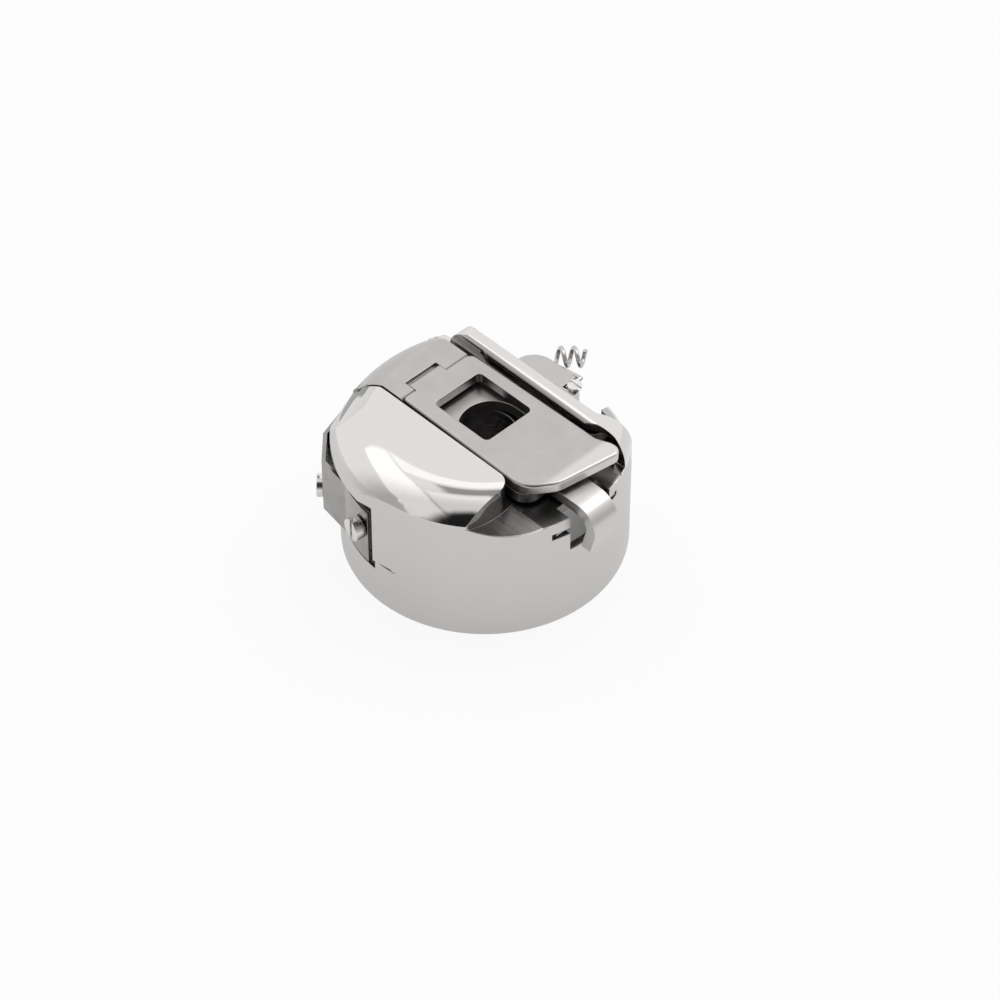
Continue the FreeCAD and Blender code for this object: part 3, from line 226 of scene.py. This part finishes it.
def scratches(maker, point, angle, length, width):
    """Thin lines in one direction, 0 where bare and 1 in a line."""
    turned = maker.add(
        "ShaderNodeMapping", {"vector_type": "POINT"},
        {"Vector": point, "Rotation": (0, 0, math.radians(angle)),
         "Scale": (1 / length, 1 / width, 1 / length)},
    )
    return maker.noise(turned, 1.0, 3.0, 0.6).steps(0.62, 0.72)


def blotches(maker, point, size):
    """Soft patches about as wide as size."""
    return maker.noise(point, 1 / size, 4.0, 0.55)


def paint_case(maker, point):
    """Satin cup wall, polished dome, ridge and brow, milled faces inside whose colour is painted dark as shade in
    the recesses, a duller finger.
    """
    x, y, z = maker.split(point)
    radius = (x * x + y * y).root()
    on_wall = radius.steps(*WALL_RADIUS)
    seam = SEAM_HEIGHT - SEAM_DROP * y.steps(*RIDGE_Y)
    satin = on_wall * (1.0 - (z - seam).steps(-SEAM_BLUR, SEAM_BLUR))
    milled_shade_top = MILLED_SHADE_HEIGHT - MILLED_SHADE_DROP * radius.steps(*MILLED_SHADE_RADIUS)
    # the milled inner faces, whose colour is painted dark as painted shade in the recesses
    shaded_inside = 1.0 - radius.steps(*INNER_RADIUS)
    shaded_inside = shaded_inside * (1.0 - (z - milled_shade_top).steps(0.0, MILLED_SHADE_BLUR))
    shaded_inside = shaded_inside * (1.0 - 0.5 * y.steps(*SHELF_Y))
    shaded_inside = shaded_inside * (1.0 - y.steps(*FLOOR_END_Y) * z.steps(*FLOOR_END_Z))
    finger = y.steps(*FINGER_Y) * z.band(FINGER_FOOT_Z, FINGER_TOP_Z) * (1.0 - on_wall)

    fine = maker.noise(point, 14.0, 3.0, 0.7)
    cloud = blotches(maker, point, 3.0)
    marks = scratches(maker, point, 24, 1.6, 0.05)
    turning = maker.noise(maker.scaled(point, (0.15, 0.15, 9.0)), 1.0, 3.0, 0.6)
    milled = maker.noise(maker.scaled(point, (0.3, 5.0, 5.0)), 1.0, 3.0, 0.6)

    polished = 0.045 + 0.05 * cloud + 0.10 * marks
    brushed = 0.30 + 0.10 * fine + 0.05 * cloud
    tooled = 0.20 + 0.22 * milled
    rough = polished + satin * (brushed - polished)
    rough = rough + shaded_inside * (tooled - rough)
    rough = rough + 0.14 * finger
    shade = maker.mix(satin, colour(0.66), maker.steel(fine, 0.595, 0.665))
    # painted shade: the milled inner faces are painted dark, as shade in the recesses, half as much on the ridge's
    # side
    shade = maker.mix(shaded_inside, shade, maker.steel(milled, 0.13, 0.34))
    shade = maker.mix(finger * 0.85, shade, colour(0.46))
    relief = satin * (0.5 * fine + 0.5 * turning) + shaded_inside * milled
    relief = relief + 0.10 * marks * (1.0 - satin)
    return {"Base Color": shade, "Roughness": rough,
            "Normal": maker.height(relief, FINE_RELIEF, 0.30)}


def paint_latch(maker, point):
    """Tumbled steel: an even grey with fine scratches in all directions, lighter on the tongue."""
    cloud = blotches(maker, point, 1.8)
    fine = maker.noise(point, 11.0, 3.0, 0.7)
    first = scratches(maker, point, 12, 1.8, 0.045)
    second = scratches(maker, point, -38, 1.1, 0.04)
    third = scratches(maker, point, 71, 0.8, 0.04)
    marks = first + second * 0.8 + third * 0.6
    x = maker.split(point)[0]
    shade = maker.steel(cloud, 0.40, 0.50)
    shade = maker.mix(x.steps(*TONGUE_X), shade, colour(0.62))
    shade = maker.mix(marks * 0.22, shade, colour(0.70))
    rough = 0.23 + 0.10 * cloud + 0.06 * fine + 0.05 * marks
    return {"Base Color": shade, "Roughness": rough,
            "Normal": maker.height(0.35 * fine + 0.4 * marks, FINE_RELIEF, 0.30)}


def paint_spring(maker, point):
    """Hard rolled sheet, in two greys, with a few scratches."""
    cloud = blotches(maker, point, 1.4)
    rolled = maker.noise(maker.scaled(point, (3.0, 3.0, 14.0)), 1.0, 2.0, 0.5)
    marks = scratches(maker, point, 55, 1.2, 0.05)
    rough = 0.12 + 0.08 * cloud + 0.06 * rolled + 0.08 * marks
    return {"Base Color": maker.steel(cloud, 0.23, 0.41), "Roughness": rough,
            "Normal": maker.height(rolled, FINE_RELIEF, 0.2)}


def paint_screw(maker, point):
    """Turned steel, slightly uneven."""
    grain = maker.noise(point, 9.0, 3.0, 0.6)
    cloud = blotches(maker, point, 0.7)
    return {"Base Color": maker.steel(cloud, 0.62, 0.82), "Roughness": 0.16 + 0.16 * grain,
            "Normal": maker.height(grain, TURNED_RELIEF, 0.3)}


def paint_tube(maker, point):
    """The centre tube, bright along its turned rings."""
    rings = maker.noise(maker.scaled(point, (0.3, 0.3, 12.0)), 1.0, 2.0, 0.5)
    return {"Base Color": maker.steel(rings, 0.42, 0.56), "Roughness": 0.18 + 0.14 * rings,
            "Normal": maker.height(rings, TURNED_RELIEF, 0.3)}


def paint_pin(maker, point):
    """Ground pins, streaked along Y."""
    streaks = maker.noise(maker.scaled(point, (8.0, 1.0, 8.0)), 1.0, 2.0, 0.5)
    return {"Base Color": maker.steel(streaks, 0.5, 0.6), "Roughness": 0.2 + 0.1 * streaks}


def paint_wire(maker, point):
    """Drawn wire, in patches of two greys."""
    cloud = blotches(maker, point, 0.5)
    return {"Base Color": maker.steel(cloud, 0.42, 0.62), "Roughness": 0.14 + 0.14 * cloud}


PAINTERS = {
    "case_steel": paint_case,
    "latch_steel": paint_latch,
    "spring_steel": paint_spring,
    "screw_steel": paint_screw,
    "tube_steel": paint_tube,
    "pin_steel": paint_pin,
    "wire_steel": paint_wire,
}
FINISHES = {slot: surface(slot, paint) for slot, paint in PAINTERS.items()}


# --- pieces ---------------------------------------------------------------------------------

SHARP_ANGLE = math.radians(32.0)    # a sharper edge than this is broken
FLAT_ANGLE = math.radians(0.05)     # faces that meet within it are made one
WELD_DISTANCE = 1e-7
ROOM_SHARE = 0.9                    # the most of a face that a broken edge may take
NORMAL_REACH = 0.05 * MM            # how far off the CAD surface may lie
NORMAL_FADE = 0.5 * MM              # a match loses 1 over this distance
NORMAL_MATCH = 0.9                  # the least cosine that counts as a match
CORNER_INSET = 0.002 * MM

EDGE_BREAKS = {
    "case_body": 0.06 * MM,
    "latch_slide": 0.05 * MM,
    "latch_lever": 0.05 * MM,
    "tension_spring": 0.04 * MM,
    "tension_fixing_screw": 0.07 * MM,
    "tension_adjusting_screw": 0.07 * MM,
    "pigtail_clamp_screw": 0.06 * MM,
    "centre_tube": 0.06 * MM,
}


def new_object(name, data):
    obj = bpy.data.objects.new(name, data)
    bpy.context.scene.collection.objects.link(obj)
    return obj


def dress(obj, node):
    """Gives a piece its node's finish."""
    obj.data.materials.clear()
    obj.data.materials.append(FINISHES[SLOTS[node]])


def stand_in(node, name, mesh):
    """A piece in a node's place, with its finish, slot and body."""
    piece = new_object(name, mesh)
    dress(piece, node)
    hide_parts(node)
    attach(piece, BODIES[node])
    return piece


def on_hinge_line(edge):
    """The lever and its hinge block meet flush, with no broken edge between them."""
    return all(
        abs(vert.co.z - lever_top) < 0.1 * MM and abs(vert.co.x - hinge_line) < 0.5 * MM
        for vert in edge.verts
    )


def chains(edges):
    """Edges that run on from one another, with no third one at the vertices between."""
    left = set(edges)
    while left:
        chain, waiting = [], [left.pop()]
        while waiting:
            edge = waiting.pop()
            chain.append(edge)
            for vert in edge.verts:
                here = [link for link in vert.link_edges if link in edges]
                if len(here) == 2:
                    waiting += [link for link in here if link in left]
                    left.difference_update(here)
        yield chain


def has_room(vert, edges, width):
    """Whether the faces round a vertex are wide enough for a broken edge."""
    marked = [edge for edge in vert.link_edges if edge in edges]
    for side in vert.link_edges:
        if side in edges:
            continue
        way = side.other_vert(vert).co - vert.co
        for edge in marked:
            if not set(edge.link_faces) & set(side.link_faces):
                continue
            slant = way.angle(edge.other_vert(vert).co - vert.co, 0.0)
            if width > ROOM_SHARE * way.length * math.sin(slant):
                return False
    return True


def surface_normals(source):
    """Returns a finder of the CAD surface's own normal at a place."""
    spots = [vert.co.copy() for vert in source.vertices]
    faces = [tuple(face.vertices) for face in source.polygons]
    starts = [face.loop_start for face in source.polygons]
    corners = [corner.vector.copy() for corner in source.corner_normals]
    tree = BVHTree.FromPolygons(spots, faces)

    def normal_at(place, facing):
        """The near normal that agrees best with the way the new face is facing."""
        best, top_score = facing, NORMAL_MATCH
        for spot, _, index, distance in tree.find_nearest_range(place, NORMAL_REACH):
            weights = poly_3d_calc([spots[number] for number in faces[index]], spot)
            start = starts[index]
            parts = [corners[start + step] * weight for step, weight in enumerate(weights)]
            normal = sum(parts, Vector()).normalized()
            score = normal.dot(facing) - distance / NORMAL_FADE
            if score > top_score:
                best, top_score = normal, score
        return best

    return normal_at


def just_inside(loop):
    """A place on a face, a hair away from one of its corners."""
    spot, normal = loop.vert.co, loop.face.normal
    after = normal.cross(loop.link_loop_next.vert.co - spot).normalized()
    before = normal.cross(spot - loop.link_loop_prev.vert.co).normalized()
    return spot + (after + before).normalized() * CORNER_INSET


def corner_normals(form, normal_at, broken):
    """Smooth faces keep the CAD surface's normals; a broken edge runs from one to the other."""
    known = {
        loop: normal_at(just_inside(loop), face.normal)
        for face in form.faces if face not in broken
        for loop in face.loops
    }
    normals = []
    for face in form.faces:
        for loop in face.loops:
            kin = [known[other] for other in loop.vert.link_loops if other in known]
            if loop in known:
                normals.append(known[loop])
            elif kin:
                normals.append(sum(kin, Vector()).normalized())
            else:
                normals.append(loop.vert.normal.copy())
    return normals


def break_edges(node, width):
    """Replaces a node by its shape with the sharp edges broken, as deburring leaves them."""
    source = frame["nodes"][node].data
    mesh = bpy.data.meshes.new(node + "_finished")
    form = bmesh.new()
    form.from_mesh(source)
    bmesh.ops.remove_doubles(form, verts=form.verts, dist=WELD_DISTANCE)
    bmesh.ops.dissolve_limit(
        form, angle_limit=FLAT_ANGLE, verts=form.verts, edges=form.edges, delimit=set()
    )
    edges = {
        edge for edge in form.edges
        if len(edge.link_faces) == 2 and edge.calc_face_angle() > SHARP_ANGLE
        and not on_hinge_line(edge)
    }
    roomy = [
        edge for chain in chains(edges)
        if all(has_room(vert, edges, width) for link in chain for vert in link.verts)
        for edge in chain
    ]
    # the bevel gives its new faces material 0, which tells them from the old ones
    for face in form.faces:
        face.material_index = 1
        face.smooth = True
    bmesh.ops.bevel(
        form, geom=roomy, offset=width, offset_type="OFFSET", segments=2, profile=0.5,
        affect="EDGES", clamp_overlap=False, material=0,
    )
    form.normal_update()
    broken = {face for face in form.faces if face.material_index == 0}
    for face in form.faces:
        face.material_index = 0
        face.smooth = True
    normals = corner_normals(form, surface_normals(source), broken)
    form.to_mesh(mesh)
    form.free()
    mesh.normals_split_custom_set(normals)
    stand_in(node, node + "_finished", mesh)


def wind_spring(node, joint):
    """Replaces a coil spring by a copy with its own mesh; the share it would shorten to at the joint's full travel
    is worked out but not used.
    """
    piece = stand_in(node, node + "_wound", frame["nodes"][node].data.copy())
    low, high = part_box(node)
    length = high.x - low.x
    travel = next(entry["range_m"][1] for entry in frame["joints"] if entry["name"] == joint)
    (length - travel) / length
    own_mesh(piece)


for node, obj in frame["nodes"].items():
    if node in EDGE_BREAKS:
        break_edges(node, EDGE_BREAKS[node])
    elif node == "latch_spring":
        wind_spring(node, "latch_slide_travel")
    else:
        dress(obj, node)


# --- stage ----------------------------------------------------------------------------------

VIEW_AZIMUTH = math.radians(45.5)
VIEW_ELEVATION = math.radians(45.69)
VIEW_DISTANCE = 303.2 * MM
VIEW_LENS = 136.8
VIEW_RIGHT = 1.19 * MM
VIEW_UP = 2.22 * MM
SENSOR_WIDTH = 36.0

FLOOR_HALF = 3.0
FLOOR_GLOW_SEEN = 0.90
# in reflections the floor's glow is painted lower near the cup, a painted shadow, and rises to the far value over
# the glow ring
FLOOR_GLOW_NEAR, FLOOR_GLOW_FAR = 0.60, 0.80
CONTACT_RING = 0.6                  # millimetres under the cup's edge that don't glow
GLOW_RING = 12.0                    # millimetres over which the reflected glow grows

TENT_GLOW, TENT_GLOW_BEHIND = 0.55, 0.57
LEFT_PANEL_GLOW, RIGHT_PANEL_GLOW, STREAK_SHADE = 0.45, 0.35, 0.70
VIEWER_SHADE = 0.97
LOWEST_SLOPE = 0.05


def heading(azimuth, elevation):
    """The way towards a place at these angles, in radians."""
    level = math.cos(elevation)
    return Vector((math.sin(azimuth) * level, -math.cos(azimuth) * level, math.sin(elevation)))


toward_viewer = heading(VIEW_AZIMUTH, VIEW_ELEVATION)
view_right = Vector((math.cos(VIEW_AZIMUTH), math.sin(VIEW_AZIMUTH), 0))
view_up = toward_viewer.cross(view_right)


def add_camera():
    lens = bpy.data.cameras.new("camera")
    lens.lens = VIEW_LENS
    lens.sensor_width = SENSOR_WIDTH
    lens.clip_start = 0.01
    lens.clip_end = 20.0
    camera = new_object("camera", lens)
    camera.location = toward_viewer * VIEW_DISTANCE + view_right * VIEW_RIGHT + view_up * VIEW_UP
    camera.rotation_euler = toward_viewer.to_track_quat("Z", "Y").to_euler()
    bpy.context.scene.camera = camera


def add_lamp(name, azimuth, elevation, distance, size, strength):
    """A soft lamp that looks at the object.  Its radiance is strength."""
    light = bpy.data.lights.new(name, "AREA")
    light.shape = "DISK"
    light.size = size
    light.energy = strength * math.pi * math.pi * size * size / 4
    lamp = new_object(name, light)
    way = heading(math.radians(azimuth), math.radians(elevation))
    lamp.location = way * distance
    lamp.rotation_euler = way.to_track_quat("Z", "Y").to_euler()


def add_floor():
    """White paper, which glows around the cup to the camera and in reflections; in reflections the glow is painted
    lower near the cup, a painted shadow.
    """
    form = bmesh.new()
    bmesh.ops.create_grid(form, x_segments=1, y_segments=1, size=FLOOR_HALF)
    mesh = bpy.data.meshes.new("floor")
    form.to_mesh(mesh)
    form.free()
    floor = new_object("floor", mesh)
    material = bpy.data.materials.new("floor_paper")
    material.use_nodes = True
    maker = Maker(material.node_tree)
    point = maker.place()
    fibre = maker.noise(point, 2.0, 3.0, 0.6)
    tone = maker.mix(fibre, (0.86, 0.86, 0.86, 1), (0.88, 0.88, 0.88, 1))
    paper = maker.add("ShaderNodeBsdfDiffuse", None, {"Color": tone})
    white = maker.add("ShaderNodeEmission", None, {"Color": (1, 1, 1, 1), "Strength": 1.0})
    camera_ray, glossy_ray = maker.outputs(
        "ShaderNodeLightPath", "Is Camera Ray", "Is Glossy Ray")
    x, y, _ = maker.split(point)
    radius = (x * x + y * y).root()
    outside = radius.steps(CUP - CONTACT_RING, CUP)
    away = radius.steps(CUP, CUP + GLOW_RING)
    # painted shadow: the glow that reflections see is lower near the cup
    reflected_with_painted_shadow = FLOOR_GLOW_NEAR + (FLOOR_GLOW_FAR - FLOOR_GLOW_NEAR) * away
    seen = outside * (FLOOR_GLOW_SEEN * camera_ray + reflected_with_painted_shadow * glossy_ray)
    mixed = maker.add("ShaderNodeMixShader", None, {0: seen, 1: paper, 2: white})
    maker.add("ShaderNodeOutputMaterial", None, {"Surface": mixed})
    mesh.materials.append(material)


def add_world():
    """A white tent with panels in its ceiling and a dark streak, dark where the viewer stands."""
    world = bpy.data.worlds.new("tent")
    bpy.context.scene.world = world
    world.use_nodes = True
    maker = Maker(world.node_tree)
    way = maker.add("ShaderNodeTexCoord", out=0)
    up = maker.split(way)[2]
    away = Vector((-toward_viewer.x, -toward_viewer.y, 0.0)).normalized()
    right = Vector((away.y, -away.x, 0.0))
    behind = maker.along(way, away)
    sideways = maker.along(way, right)

    # where the way meets a ceiling one unit up
    height = up.larger(LOWEST_SLOPE)
    reach, across = behind / height, sideways / height
    ceiling = up.steps(LOWEST_SLOPE, 0.12)
    left_panel = across.band((-0.95, -0.90), (-0.39, -0.36))
    left_panel = left_panel * reach.band((-0.65, -0.55), (0.68, 0.72))
    far_panel = reach.band((0.44, 0.48), (0.70, 0.74))
    near_panel = reach.band((-0.40, -0.36), (0.10, 0.20))
    right_panels = across.steps(-0.36, -0.33) * far_panel.larger(near_panel)
    streak = across.band((-0.22, -0.16), (0.30, 0.50)) * reach.band((0.16, 0.22), (0.36, 0.42))

    glow = LEFT_PANEL_GLOW * left_panel + RIGHT_PANEL_GLOW * right_panels - STREAK_SHADE * streak
    glow = TENT_GLOW + TENT_GLOW_BEHIND * behind.steps(-0.15, 0.30) + ceiling * glow
    glow = glow * (1.0 - VIEWER_SHADE * maker.along(way, toward_viewer).steps(0.84, 0.92))
    seen, = maker.outputs("ShaderNodeLightPath", "Is Camera Ray")
    strength = seen + (1.0 - seen) * glow
    light = maker.add("ShaderNodeBackground", None, {"Color": (1, 1, 1, 1), "Strength": strength})
    maker.add("ShaderNodeOutputWorld", None, {"Surface": light})


add_camera()
add_floor()
add_world()
add_lamp("key_lamp", azimuth=165, elevation=60, distance=0.5, size=0.30, strength=1.5)

bpy.context.scene.view_settings.view_transform = "Standard"
